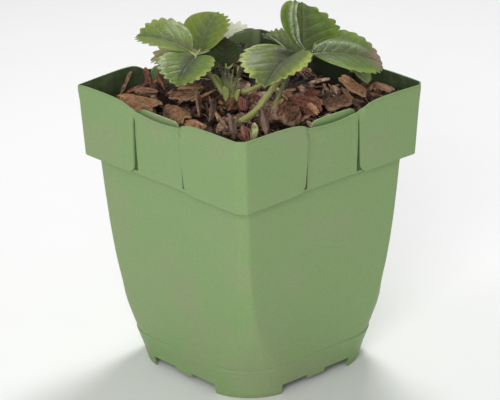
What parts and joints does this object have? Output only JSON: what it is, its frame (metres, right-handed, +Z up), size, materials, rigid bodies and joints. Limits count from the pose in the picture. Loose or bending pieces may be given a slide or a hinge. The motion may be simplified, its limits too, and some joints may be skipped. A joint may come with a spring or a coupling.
{
  "type": "potted strawberry plant",
  "caption": "Young strawberry plant with toothed three-part leaves in a square green nursery pot, mulched with bark chips.",
  "frame": {"origin": "middle of the pot's footprint, on the surface it stands on", "axes": "+Z up through the plant; the pot's four sides face -Y, +X, +Y and -X"},
  "size_m": [0.11, 0.11, 0.1682],
  "materials": {
    "pot_green": "satin-matte injection-moulded polypropylene, dusty grey-green",
    "potting_soil": "damp, crumbly, nearly black",
    "leaf_green": "satin, with side veins and a paler margin",
    "leaf_dark": "satin, deep green",
    "leaf_pale": "matte, hairy, whitish green underside",
    "stalk_green": "satin, finely hairy, yellow-green",
    "crown_brown": "rough, scaly",
    "stipule_green": "thin, papery, pale green to brown",
    "bud_cream": "smooth, waxy",
    "bark_tan": "rough torn fibres, orange-tan",
    "bark_brown": "rough torn fibres, mid brown",
    "bark_red": "rough torn fibres, reddish brown",
    "bark_dark": "rough torn fibres, dark brown"
  },
  "bodies": {
    "root": {"pot": "pot_green", "soil": "potting_soil", "crown": "crown_brown", "petiole_a": "stalk_green", "petiole_b": "stalk_green", "petiole_c": "stalk_green", "petiole_d": "stalk_green", "petiole_e": "stalk_green", "petiole_f": "stalk_green", "petiole_young": "stalk_green", "leaf_a_leaflet_left": "leaf_green", "leaf_a_leaflet_back": "leaf_green", "leaf_a_leaflet_front": "leaf_green", "leaf_b_leaflet_front": "leaf_green", "leaf_b_leaflet_up": "leaf_green", "leaf_b_leaflet_right": "leaf_green", "leaf_c_leaflet_up": "leaf_dark", "leaf_c_leaflet_left": "leaf_dark", "leaf_c_leaflet_right": "leaf_dark", "leaf_d_leaflet_side": "leaf_dark", "leaf_d_leaflet_back": "leaf_dark", "leaf_e_leaflet_hanging": "leaf_green", "leaf_e_leaflet_back": "leaf_green", "leaf_f_leaflet_left": "leaf_green", "leaf_f_leaflet_right": "leaf_pale", "leaf_f_leaflet_back": "leaf_green", "stipule_left": "stipule_green", "stipule_front": "stipule_green", "stipule_right": "stipule_green", "bud_pale": "bud_cream", "bud_sprouting": "bud_cream", "bark_chip_tan": "bark_tan", "bark_chip_stick_wall": "bark_brown", "bark_chip_stick_left": "bark_brown", "bark_chip_red_spike": "bark_red", "bark_chip_red_lean": "bark_red", "bark_chip_brown_flat": "bark_brown", "bark_chip_slab_long": "bark_brown", "bark_chip_curl_left": "bark_brown", "bark_chip_curl_front": "bark_brown", "bark_chip_grey_leaf": "bark_brown", "bark_chip_dark_lean": "bark_dark", "bark_chip_dark_front": "bark_dark", "bark_chip_red_front": "bark_red", "bark_chip_red_square": "bark_red", "bark_chip_fibre_front": "bark_dark", "bark_chip_chunk": "bark_brown", "bark_chip_purple_long": "bark_red", "bark_chip_red_middle": "bark_red", "bark_chip_orange_long": "bark_tan", "bark_chip_wide_brown": "bark_brown", "bark_chip_pale_stick": "bark_tan", "bark_chip_red_stick": "bark_red", "bark_chip_back_stick": "bark_brown"}
  },
  "joints": []
}
